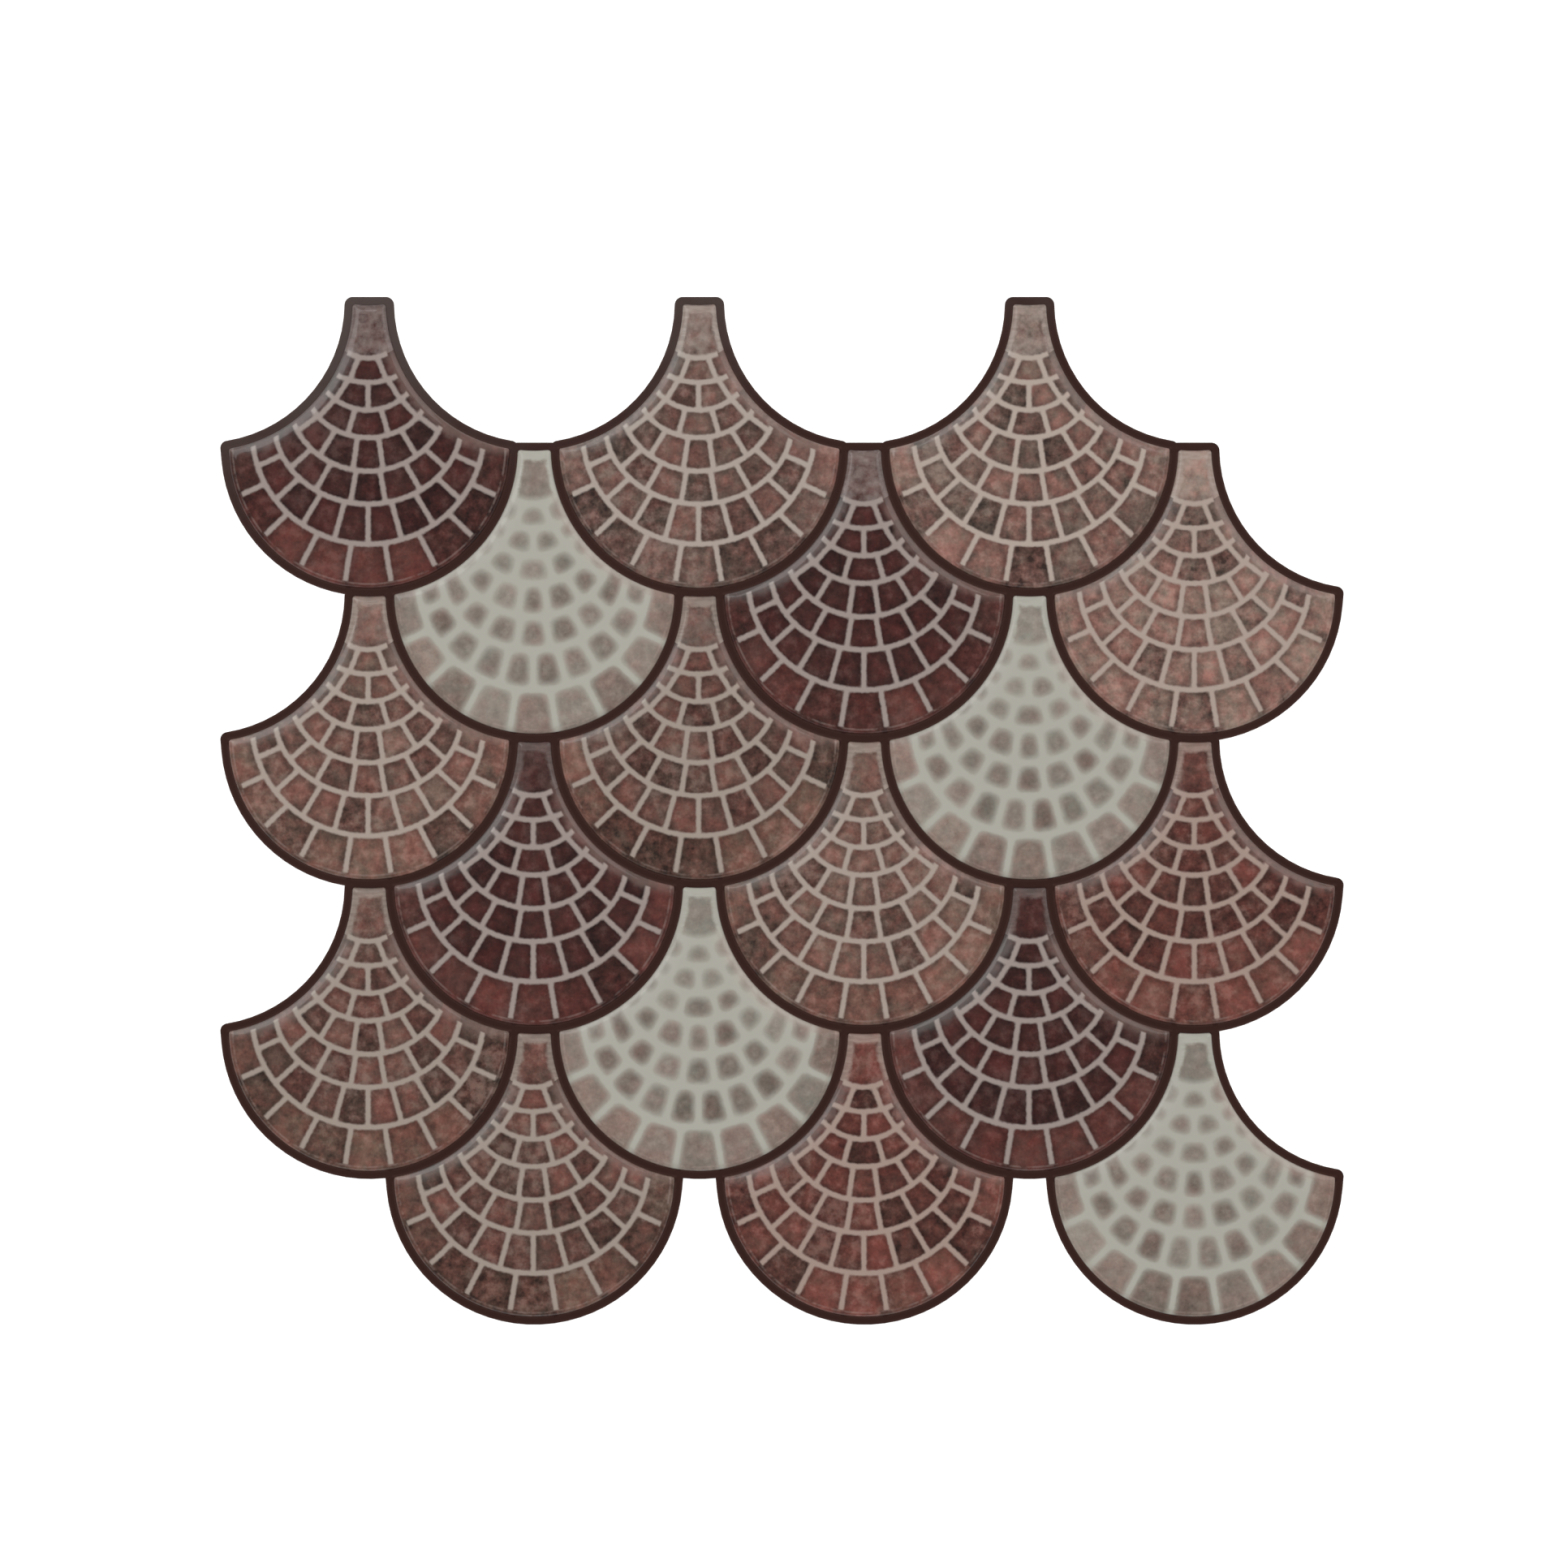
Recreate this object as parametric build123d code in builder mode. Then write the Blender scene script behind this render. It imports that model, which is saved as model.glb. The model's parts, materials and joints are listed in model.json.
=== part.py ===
"""Self-adhesive mosaic tile in a fish-scale pattern.

Eighteen scales of clear domed gel stand on one printed film, with a dark printed joint
between them, and the adhesive back of the film is covered by a paper release liner.
The sheet lies on its liner: X runs along the rows, Y up the pattern, Z out of the face.
All sizes are in millimetres.
"""

import math
import os

from build123d import *

# The pattern: rows of scales, each row set half a pitch aside from the one above it.
ROWS = 6
SCALES_IN_ROW = 3
SCALE_PITCH = 89.3  # centre to centre along a row
ROW_PITCH = 39.4  # centre to centre from row to row
NECK_WIDTH = 11.2  # narrowest part of a scale, between the middles of its joints
JOINT_WIDTH = 2.2  # printed joint between two scales

# The cut outline of the sheet, which runs round the outside of the printed joints.
HORN_FLARE = 0.15  # how far a horn stands out beyond the scale's own circle
HORN_TIP_RADIUS = 2.0
NECK_CORNER_RADIUS = 2.2

# The layers, from the back of the sheet to its face.
LINER_THICKNESS = 0.15
FILM_THICKNESS = 0.35
GEL_HEIGHT = 1.5

# The gel of one scale: a low wall round its edge, then an arc up to the flat middle.
GEL_EDGE_HEIGHT = 0.5
GEL_ROLL_WIDTH = 4.0
GEL_HORN_RADIUS = 0.6
GEL_NECK_RADIUS = 1.0

# What follows from the sizes above.
scale_radius = (SCALE_PITCH - NECK_WIDTH) / 2
half_joint = JOINT_WIDTH / 2
neck_height = 2 * ROW_PITCH - scale_radius  # from a scale's centre to the joint above its neck
sheet_middle_x = (SCALES_IN_ROW - 0.5) * SCALE_PITCH / 2
sheet_middle_y = (neck_height - scale_radius - (ROWS - 1) * ROW_PITCH) / 2
film_bottom = LINER_THICKNESS
gel_bottom = film_bottom + FILM_THICKNESS
cutter_margin = 2 * JOINT_WIDTH  # how far a cutter runs past what it cuts

# The neighbours of a scale that bound it from above, as seen from its own centre.
side_neighbours = [(SCALE_PITCH / 2, ROW_PITCH), (-SCALE_PITCH / 2, ROW_PITCH)]
neck_neighbour = (0, 2 * ROW_PITCH)


def scale_centre(row, column):
    """Centre of a scale's own circle, with row 0 at the top and column 0 on the left."""
    shift = SCALE_PITCH / 2 if row % 2 else 0
    return (
        column * SCALE_PITCH + shift - sheet_middle_x,
        -row * ROW_PITCH - sheet_middle_y,
    )


def scale_face(grow, flare, top):
    """One scale, its edges moved out by grow from the middle of its joints.

    Its lower edge is its own circle, which runs out along a tangent to each horn. The two
    circles of the row above cut its sides hollow and leave the neck, flat at top.
    """
    own_radius = scale_radius + grow
    horn_reach = own_radius + flare
    tangent_angle = math.acos(own_radius / horn_reach)
    arc_end_x = own_radius * math.cos(tangent_angle)
    arc_end_y = -own_radius * math.sin(tangent_angle)
    side_top = horn_reach + top * math.tan(tangent_angle)
    with BuildSketch() as face:
        with BuildLine():
            ThreePointArc((-arc_end_x, arc_end_y), (0, -own_radius), (arc_end_x, arc_end_y))
            Line((arc_end_x, arc_end_y), (side_top, top))
            Line((side_top, top), (-side_top, top))
            Line((-side_top, top), (-arc_end_x, arc_end_y))
        make_face()
        with Locations(*side_neighbours):
            Circle(scale_radius - grow, mode=Mode.SUBTRACT)
    return face.sketch


def roll_profile(edge, inward):
    """What is cut off the gel beside one edge: all that lies above its rolled shoulder.

    edge is where the edge stands along X, and inward is 1 or -1, the way from the edge to
    the middle of the gel. Y is the height above the gel's foot.
    """
    drop = GEL_HEIGHT - GEL_EDGE_HEIGHT
    shoulder_radius = (GEL_ROLL_WIDTH**2 + drop**2) / (2 * drop)
    half_angle = math.asin(GEL_ROLL_WIDTH / shoulder_radius) / 2
    shoulder_x = edge + inward * GEL_ROLL_WIDTH
    middle_x = shoulder_x - inward * shoulder_radius * math.sin(half_angle)
    middle_y = GEL_HEIGHT - shoulder_radius * (1 - math.cos(half_angle))
    outside_x = edge - inward * cutter_margin
    above = GEL_HEIGHT + cutter_margin
    with BuildSketch() as profile:
        with BuildLine():
            ThreePointArc((shoulder_x, GEL_HEIGHT), (middle_x, middle_y), (edge, GEL_EDGE_HEIGHT))
            Line((edge, GEL_EDGE_HEIGHT), (outside_x, GEL_EDGE_HEIGHT))
            Line((outside_x, GEL_EDGE_HEIGHT), (outside_x, above))
            Line((outside_x, above), (shoulder_x, above))
            Line((shoulder_x, above), (shoulder_x, GEL_HEIGHT))
        make_face()
    return profile.sketch


# Outline of the whole sheet: every scale, grown to the outer edge of its joint, in one.
with BuildSketch() as bordered_scale:
    add(scale_face(half_joint, HORN_FLARE, neck_height + half_joint))
    fillet(bordered_scale.vertices().group_by(Axis.Y)[-1], radius=NECK_CORNER_RADIUS)
    fillet(bordered_scale.vertices().group_by(Axis.X)[0], radius=HORN_TIP_RADIUS)
    fillet(bordered_scale.vertices().group_by(Axis.X)[-1], radius=HORN_TIP_RADIUS)

all_centres = [scale_centre(row, column) for row in range(ROWS) for column in range(SCALES_IN_ROW)]
with BuildSketch() as sheet_outline:
    with Locations(*all_centres):
        add(bordered_scale.sketch)

# Release liner: paper, cut with the sheet, which peels off the adhesive back.
with BuildPart() as release_liner:
    add(sheet_outline.sketch)
    extrude(amount=LINER_THICKNESS)

# Printed film: carries the print, the dark joints and the adhesive on its back.
with BuildPart() as printed_film:
    with BuildSketch(Plane.XY.offset(film_bottom)):
        add(sheet_outline.sketch)
    extrude(amount=FILM_THICKNESS)

# Gel of one scale, cast on the film and rolled over along each of its four edges.
with BuildPart() as gel_scale:
    with BuildSketch(Plane.XY.offset(gel_bottom)) as gel_foot:
        add(scale_face(-half_joint, 0, neck_height))
        with Locations(neck_neighbour):
            Circle(scale_radius + half_joint, mode=Mode.SUBTRACT)
        fillet(gel_foot.vertices().group_by(Axis.Y)[-1], radius=GEL_NECK_RADIUS)
        fillet(gel_foot.vertices().group_by(Axis.X)[0], radius=GEL_HORN_RADIUS)
        fillet(gel_foot.vertices().group_by(Axis.X)[-1], radius=GEL_HORN_RADIUS)
    extrude(amount=GEL_HEIGHT)
    with BuildSketch(Plane((0, 0, gel_bottom), x_dir=(1, 0, 0), z_dir=(0, -1, 0))):
        add(roll_profile(scale_radius - half_joint, -1))
    revolve(axis=Axis((0, 0, 0), (0, 0, -1)), revolution_arc=180, mode=Mode.SUBTRACT)
    for neighbour_x, neighbour_y in [*side_neighbours, neck_neighbour]:
        roll_centre = (neighbour_x, neighbour_y, gel_bottom)
        with BuildSketch(Plane(roll_centre, x_dir=(1, 0, 0), z_dir=(0, -1, 0))):
            add(roll_profile(scale_radius + half_joint, 1))
        revolve(axis=Axis(roll_centre, (0, 0, 1)), mode=Mode.SUBTRACT)

os.makedirs("parts", exist_ok=True)

release_liner.part.label = "release_liner"
export_step(release_liner.part, "parts/release_liner.step")

printed_film.part.label = "printed_film"
export_step(printed_film.part, "parts/printed_film.step")

for row in range(ROWS):
    for column in range(SCALES_IN_ROW):
        scale = gel_scale.part.moved(Location((*scale_centre(row, column), 0)))
        scale.label = f"gel_scale_row{row + 1}_{column + 1}"
        export_step(scale, f"parts/{scale.label}.step")
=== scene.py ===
"""Self-adhesive fish-scale mosaic tile: the printed gel, the film, the liner and the studio.

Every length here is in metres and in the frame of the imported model, unless its name ends
in _mm or its class says that it is in millimetres. The sheet lies face up, with X along its
rows and Y up its pattern.
"""

import json
import logging
import math
from collections.abc import Callable
from dataclasses import dataclass, field
from enum import Enum
from typing import Any

import bmesh
import bpy
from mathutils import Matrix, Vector

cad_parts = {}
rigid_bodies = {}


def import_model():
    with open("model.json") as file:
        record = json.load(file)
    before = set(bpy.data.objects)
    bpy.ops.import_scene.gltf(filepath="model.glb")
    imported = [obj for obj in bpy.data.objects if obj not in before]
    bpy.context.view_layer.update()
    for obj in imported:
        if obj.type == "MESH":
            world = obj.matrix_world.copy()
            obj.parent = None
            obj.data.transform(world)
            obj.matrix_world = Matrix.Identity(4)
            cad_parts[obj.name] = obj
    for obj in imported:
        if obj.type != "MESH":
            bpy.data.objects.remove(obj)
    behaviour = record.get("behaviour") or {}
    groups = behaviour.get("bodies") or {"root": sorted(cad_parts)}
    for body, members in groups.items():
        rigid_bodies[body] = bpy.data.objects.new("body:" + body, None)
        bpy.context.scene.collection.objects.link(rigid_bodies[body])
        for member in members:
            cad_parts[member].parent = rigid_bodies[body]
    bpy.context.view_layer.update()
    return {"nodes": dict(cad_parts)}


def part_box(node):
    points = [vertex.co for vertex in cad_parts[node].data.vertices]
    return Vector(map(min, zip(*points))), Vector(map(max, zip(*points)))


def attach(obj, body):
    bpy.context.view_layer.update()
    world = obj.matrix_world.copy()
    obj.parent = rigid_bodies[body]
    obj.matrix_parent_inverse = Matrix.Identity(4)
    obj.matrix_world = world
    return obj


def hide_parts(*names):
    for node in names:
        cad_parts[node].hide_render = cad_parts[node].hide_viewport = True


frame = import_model()

log = logging.getLogger("tile")
logging.basicConfig(level=logging.INFO, format="%(name)s: %(message)s")

MM = 0.001

# Each gel scale has its own map of the print, a square round the scale's centre.
PRINT_MAP = "print"
PRINT_MAP_SIDE_MM = 100.0

# Added to a distance that doesn't count, so that it is never the shortest.
FAR_MM = 50.0

Rgb = tuple[int, int, int]
Rgba = tuple[float, float, float, float]
Point = tuple[float, float]
Span = tuple[float, float]


def linear(rgb: Rgb) -> Rgba:
    """Turns a display colour into the linear colour that a socket takes.

    Args:
        rgb: the colour, each channel from 0 to 255.

    Returns:
        The linear colour, opaque.
    """

    def channel(value: float) -> float:
        """One channel by the sRGB curve."""
        share = value / 255
        return share / 12.92 if share <= 0.04045 else ((share + 0.055) / 1.055) ** 2.4

    return (channel(rgb[0]), channel(rgb[1]), channel(rgb[2]), 1.0)


def deselect_all() -> None:
    """Leaves object mode with nothing selected."""
    if bpy.context.object and bpy.context.object.mode != "OBJECT":
        bpy.ops.object.mode_set(mode="OBJECT")
    bpy.ops.object.select_all(action="DESELECT")


def select_only(piece: bpy.types.Object) -> None:
    """Makes one object the only selected one and the active one."""
    deselect_all()
    piece.select_set(True)
    bpy.context.view_layer.objects.active = piece


def apply_modifier(piece: bpy.types.Object, kind: str, **settings: Any) -> None:
    """Adds a modifier to the active object and applies it.

    Args:
        piece: the active object.
        kind: the modifier's type.
        **settings: its attributes.
    """
    modifier = piece.modifiers.new(kind.lower(), kind)
    for name, value in settings.items():
        setattr(modifier, name, value)
    bpy.ops.object.modifier_apply(modifier=modifier.name)


# Shader maths


class Wire:
    """A shader number or vector that Python expressions can work on."""

    def __init__(self, bench: "Bench", socket: bpy.types.NodeSocket) -> None:
        """Keeps the socket and the bench that adds nodes after it."""
        self.bench = bench
        self.socket = socket

    def __add__(self, other: "Wire | float") -> "Wire":
        """self + other."""
        return self.bench.math("ADD", self, other)

    def __radd__(self, other: float) -> "Wire":
        """other + self."""
        return self.bench.math("ADD", other, self)

    def __sub__(self, other: "Wire | float") -> "Wire":
        """self - other."""
        return self.bench.math("SUBTRACT", self, other)

    def __rsub__(self, other: float) -> "Wire":
        """other - self."""
        return self.bench.math("SUBTRACT", other, self)

    def __mul__(self, other: "Wire | float") -> "Wire":
        """self * other."""
        return self.bench.math("MULTIPLY", self, other)

    def __rmul__(self, other: float) -> "Wire":
        """other * self."""
        return self.bench.math("MULTIPLY", other, self)

    def __truediv__(self, other: "Wire | float") -> "Wire":
        """self / other."""
        return self.bench.math("DIVIDE", self, other)

    def __gt__(self, other: "Wire | float") -> "Wire":
        """1 where self is greater than other, else 0."""
        return self.bench.math("GREATER_THAN", self, other)

    def __lt__(self, other: "Wire | float") -> "Wire":
        """1 where self is less than other, else 0."""
        return self.bench.math("LESS_THAN", self, other)

    def __abs__(self) -> "Wire":
        """The size of self without its sign."""
        return self.bench.math("ABSOLUTE", self)


class Bench:
    """Adds nodes to one material or world and wires them up."""

    def __init__(self, tree: bpy.types.NodeTree) -> None:
        """Clears the tree.

        Args:
            tree: the node tree to fill.
        """
        self.tree = tree
        tree.nodes.clear()

    def feed(self, socket: bpy.types.NodeSocket, value: Any) -> None:
        """Links a Wire to a socket, or sets the socket to a value."""
        if isinstance(value, Wire):
            self.tree.links.new(value.socket, socket)
        else:
            socket.default_value = value

    def node(self, kind: str, settings: dict[str, Any] | None = None, **sockets: Any) -> bpy.types.Node:
        """Adds a node.

        Args:
            kind: the node's type without the words ShaderNode.
            settings: attributes that are set first.
            **sockets: a value or a Wire for each input; i0 and i1 stand for inputs by index.

        Returns:
            The new node.
        """
        made = self.tree.nodes.new("ShaderNode" + kind)
        for name, value in (settings or {}).items():
            setattr(made, name, value)
        for name, value in sockets.items():
            by_index = name[0] == "i" and name[1:].isdigit()
            self.feed(made.inputs[int(name[1:]) if by_index else name.replace("_", " ")], value)
        return made

    def out(self, made: bpy.types.Node, name: str | int = 0) -> Wire:
        """The output of a node as a Wire."""
        return Wire(self, made.outputs[name])

    def math(self, operation: str, *values: "Wire | float", clamp: bool = False) -> Wire:
        """Adds a Math node.

        Args:
            operation: the Math node's operation.
            *values: up to three numbers or Wires.
            clamp: keeps the result between 0 and 1.

        Returns:
            The result.
        """
        sockets = {f"i{index}": value for index, value in enumerate(values)}
        return self.out(self.node("Math", {"operation": operation, "use_clamp": clamp}, **sockets))

    def total(self, *values: Wire) -> Wire:
        """The sum of several numbers."""
        result = values[0]
        for value in values[1:]:
            result = result + value
        return result

    def least(self, *values: Wire) -> Wire:
        """The smallest of several numbers."""
        result = values[0]
        for value in values[1:]:
            result = self.math("MINIMUM", result, value)
        return result

    def most(self, *values: Wire) -> Wire:
        """The largest of several numbers."""
        result = values[0]
        for value in values[1:]:
            result = self.math("MAXIMUM", result, value)
        return result

    def fold(self, value: Wire, period: float) -> Wire:
        """The distance, with its sign, from the nearest multiple of a period."""
        return value - self.math("ROUND", value / period) * period

    def vector(self, x: "Wire | float", y: "Wire | float", z: "Wire | float") -> Wire:
        """A vector from three numbers."""
        return self.out(self.node("CombineXYZ", X=x, Y=y, Z=z))

    def dot(self, vector: Wire, fixed: tuple[float, float, float]) -> Wire:
        """The dot product of a vector with a fixed one."""
        return self.out(self.node("VectorMath", {"operation": "DOT_PRODUCT"}, i0=vector, i1=fixed), "Value")

    def length(self, vector: Wire) -> Wire:
        """The length of a vector."""
        return self.out(self.node("VectorMath", {"operation": "LENGTH"}, i0=vector), "Value")

    def distance(self, vector: Wire, point: tuple[float, float, float]) -> Wire:
        """The distance from a fixed point."""
        return self.out(self.node("VectorMath", {"operation": "DISTANCE"}, i0=vector, i1=point), "Value")

    def ramp(self, value: Wire, low: float, high: float) -> Wire:
        """A smooth step from 0 at low to 1 at high, or the other way where high is lower."""
        rising = low < high
        made = self.node(
            "MapRange",
            {"interpolation_type": "SMOOTHSTEP"},
            Value=value,
            From_Min=min(low, high),
            From_Max=max(low, high),
            To_Min=0.0 if rising else 1.0,
            To_Max=1.0 if rising else 0.0,
        )
        return self.out(made, "Result")

    def noise(self, where: Wire, scale: float, detail: float = 2.0, roughness: float = 0.5) -> Wire:
        """Smooth noise.

        Args:
            where: the vector that it is read at.
            scale: how many waves it has in a unit of length.
            detail: how many finer noises are added.
            roughness: how strong the finer noises are.

        Returns:
            A number from 0 to 1, mostly near 0.5.
        """
        sockets = {"Vector": where, "Scale": scale, "Detail": detail, "Roughness": roughness}
        return self.out(self.node("TexNoise", {"noise_dimensions": "3D"}, **sockets), "Fac")

    def blend(self, share: "Wire | float", first: Any, second: Any, how: str = "MIX") -> Wire:
        """Mixes two colours.

        Args:
            share: how much of the second colour there is.
            first: a colour or a Wire.
            second: a colour or a Wire.
            how: the Mix node's blend type.

        Returns:
            The mixed colour.
        """
        settings = {"data_type": "RGBA", "blend_type": how, "clamp_result": False}
        return self.out(self.node("Mix", settings, i0=share, i6=first, i7=second), 2)


def new_material(name: str) -> tuple[bpy.types.Material, Bench]:
    """Makes a material.

    Args:
        name: its name.

    Returns:
        The material and the bench to build it on.
    """
    material = bpy.data.materials.new(name)
    material.use_nodes = True
    return material, Bench(material.node_tree)


# The pattern of the sheet


class Corner(Enum):
    """A corner of a scale, named after what the scale looks like."""

    HORN = "horn"
    NECK = "neck"


@dataclass(frozen=True)
class ScalePattern:
    """Where the scales stand, as in the part's own drawing, in millimetres."""

    rows: int = 6
    scales_in_row: int = 3
    pitch: float = 89.3
    row_pitch: float = 39.4
    neck_width: float = 11.2
    joint_width: float = 2.2

    @property
    def radius(self) -> float:
        """Radius of a scale's own circle, to the middle of its joint."""
        return (self.pitch - self.neck_width) / 2

    @property
    def own_radius(self) -> float:
        """Radius of the gel's own lower edge."""
        return self.radius - self.joint_width / 2

    @property
    def hollow_radius(self) -> float:
        """Radius of the gel's hollow sides and of its neck's top."""
        return self.radius + self.joint_width / 2

    @property
    def side_centre(self) -> Point:
        """Centre of the right-hand hollow side, seen from the scale's own centre."""
        return (self.pitch / 2, self.row_pitch)

    @property
    def neck_centre(self) -> Point:
        """Centre of the arc at the neck's top."""
        return (0.0, 2 * self.row_pitch)

    def centre(self, row: int, column: int) -> Point:
        """Finds the centre of one scale in the frame.

        Args:
            row: the scale's row, with 0 at the top.
            column: its place in the row, with 0 on the left.

        Returns:
            The centre, in millimetres.
        """
        neck_height = 2 * self.row_pitch - self.radius
        middle_x = (self.scales_in_row - 0.5) * self.pitch / 2
        middle_y = (neck_height - self.radius - (self.rows - 1) * self.row_pitch) / 2
        shift = self.pitch / 2 if row % 2 else 0.0
        return (column * self.pitch + shift - middle_x, -row * self.row_pitch - middle_y)

    def corner(self, which: Corner) -> Point:
        """A right-hand corner of the gel, where two of its arcs meet."""
        if which is Corner.HORN:
            return meeting((0.0, 0.0), self.own_radius, self.side_centre, self.hollow_radius, True)
        return meeting(self.neck_centre, self.hollow_radius, self.side_centre, self.hollow_radius, True)


def meeting(first: Point, first_radius: float, second: Point, second_radius: float, lower: bool) -> Point:
    """Where two circles meet.

    Args:
        first: centre of the first circle.
        first_radius: its radius.
        second: centre of the second circle.
        second_radius: its radius.
        lower: takes the meeting point that lies further down, else the other.

    Returns:
        The meeting point.
    """
    gap_x, gap_y = second[0] - first[0], second[1] - first[1]
    gap = math.hypot(gap_x, gap_y)
    along = (gap**2 + first_radius**2 - second_radius**2) / (2 * gap)
    aside = math.sqrt(first_radius**2 - along**2)
    points = [
        (
            first[0] + (along * gap_x - side * aside * gap_y) / gap,
            first[1] + (along * gap_y + side * aside * gap_x) / gap,
        )
        for side in (1, -1)
    ]
    points.sort(key=lambda point: point[1])
    return points[0] if lower else points[1]


@dataclass(frozen=True)
class Course:
    """One course of stones in the print, and the grout line below it, in millimetres.

    The grout line is the lower part of an ellipse on the scale's axis. Each joint runs
    from a lower to an upper point, right of the axis, and is mirrored to the left.
    """

    centre_y: float
    half_width: float
    drop: float
    joints: tuple[tuple[Point, Point], ...] = ()
    joint_on_axis: bool = False


COURSES: tuple[Course, ...] = (
    Course(37.8, 12.2, 13.6),
    Course(32.9, 16.8, 15.3, (((5.16, 17.77), (2.64, 24.16)),)),
    Course(24.6, 14.8, 14.45, (((8.87, 12.82), (5.45, 18.16)),), True),
    Course(15.8, 16.3, 13.1, (((5.53, 3.45), (3.76, 9.6)), ((13.57, 8.02), (9.05, 12.96)))),
    Course(
        14.05,
        21.6,
        20.4,
        (((4.08, -5.71), (2.9, 2.28)), ((12.3, -0.9), (9.4, 3.84)), ((18.84, 4.61), (14.45, 7.91))),
    ),
    Course(
        6.6,
        25.3,
        21.85,
        (((4.7, -14.69), (3.23, -6.19)), ((14.01, -11.27), (10.21, -4.5)), ((19.81, -4.41), (16.34, -1.27))),
    ),
    Course(
        3.95,
        31.3,
        30.05,
        (
            ((9.09, -24.64), (6.61, -15.68)),
            ((17.37, -20.18), (13.22, -13.26)),
            ((24.42, -13.53), (19.9, -9.35)),
            ((29.36, -4.79), (24.68, -2.61)),
        ),
        True,
    ),
)
RIM_JOINTS: tuple[tuple[Point, Point], ...] = (
    ((6.41, -37.27), (4.61, -26.31)),
    ((18.67, -32.9), (14.19, -24.31)),
    ((28.35, -24.11), (22.62, -18.62)),
    ((35.36, -13.24), (29.08, -10.37)),
)


# Finishes

# The dark printed joint, whose colour is also laid inside the foot of each gel scale as painted shade.
JOINT_COLOUR: Rgb = (50, 26, 21)


@dataclass(frozen=True)
class Colourway:
    """The colours of one kind of scale, as the display shows them.

    Where a ground is named, each stone is only a soft dark blot on that ground.
    """

    kind: str
    stone: Rgb
    rim_stone: Rgb
    grout: Rgb
    neck_frame: float = 0.5
    wear: float = 0.16
    spread: float = 0.64
    ground: Rgb | None = None


class Tone(Enum):
    """The eight colourways of the print."""

    WINE = Colourway("wine", (64, 33, 30), (77, 42, 37), (158, 144, 138), neck_frame=0.12, wear=0.06)
    GREY = Colourway(
        "grey",
        (115, 100, 91),
        (126, 106, 96),
        (177, 175, 164),
        neck_frame=0.8,
        wear=0.1,
        spread=0.384,
        ground=(172, 170, 160),
    )
    ROSE = Colourway("rose", (106, 77, 68), (105, 76, 66), (171, 156, 145))
    # DUSK and BLUSH are lighter copies of ROSE, and TAN a lighter copy of BROWN, used for three scales near
    # the top of the sheet.
    DUSK = Colourway("rose", (114, 87, 78), (113, 86, 77), (181, 165, 154))
    BLUSH = Colourway("rose", (130, 101, 91), (127, 98, 88), (175, 158, 147))
    TAN = Colourway("brown", (103, 76, 68), (104, 77, 69), (174, 161, 151))
    BROWN = Colourway("brown", (97, 67, 59), (98, 70, 60), (163, 149, 138))
    BRICK = Colourway("brick", (95, 55, 48), (97, 58, 50), (167, 145, 134))


# The colourway of each scale, row by row from the top.
LAYOUT: tuple[tuple[Tone, ...], ...] = (
    (Tone.WINE, Tone.TAN, Tone.DUSK),
    (Tone.GREY, Tone.WINE, Tone.BLUSH),
    (Tone.ROSE, Tone.BROWN, Tone.GREY),
    (Tone.WINE, Tone.ROSE, Tone.BRICK),
    (Tone.BROWN, Tone.GREY, Tone.WINE),
    (Tone.BROWN, Tone.BRICK, Tone.GREY),
)


@dataclass(frozen=True)
class Place:
    """Where a point of the gel lies in the print, in millimetres."""

    spot: Wire
    x: Wire
    y: Wire
    from_left: Wire
    from_right: Wire
    from_top: Wire
    from_rim: Wire


@dataclass(frozen=True)
class Mottle:
    """How the print's tone wanders: noises by waves in a metre, and how much each of them does."""

    cloud_scale: float = 360.0
    cloud: float = 2.1
    grain_scale: float = 1200.0
    grain: float = 0.6
    patch_scale: float = 34.0
    patch: float = 0.6
    flush_scale: float = 250.0
    flush: float = 3.0
    stone_flush: float = 0.5
    rim_spread: float = 0.2
    darkest: float = 0.2
    cool: Rgba = (0.86, 1.05, 1.03, 1.0)
    warm: Rgba = (1.14, 0.93, 0.93, 1.0)
    edge_mm: Span = (0.6, 3.2)
    edge_light: float = 0.72
    middle_gain: float = 0.42
    worn: Span = (0.0, 0.25)


@dataclass(frozen=True)
class Blot:
    """The soft dark blot that each stone is on a pale ground."""

    corner_mm: float = 3.6
    edge_mm: Span = (0.2, 2.6)
    rim_growth_mm: float = 0.3
    ragged_mm: float = 2.0
    strength: float = 0.66
    spread: float = 0.3
    fade: float = 0.16
    fade_y_mm: Span = (-6.0, 14.0)
    ground_mottle: float = 0.1
    mottle: float = 0.45
    flush: float = 0.5


@dataclass(frozen=True)
class NeckStone:
    """The pale frame of grout, streaked and torn, round the single stone in the neck."""

    width_mm: Span = (2.6, 1.3)
    foot_mm: Span = (-0.9, -0.1)
    right_mm: float = 0.6
    top_mm: float = 0.8
    torn_scale: float = 330.0
    torn_mm: float = 2.4
    spread: float = 0.3
    streak_scale: Point = (0.22, 1.1)
    streak_edges: Span = (0.38, 0.62)
    streak_base: float = 0.8
    streak_gain: float = 0.3
    high_y: Span = (0.0, 0.09)
    high_pale: float = 0.3
    high_torn: float = 1.5


@dataclass(frozen=True)
class PaintedSheen:
    """A painted highlight in the print's colour beside one edge of the gel: a pale band or line that stands
    for the lamps' reflection in the gel's rolled edge.
    """

    colour: Rgb
    reach_mm: float
    strength: float


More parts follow.
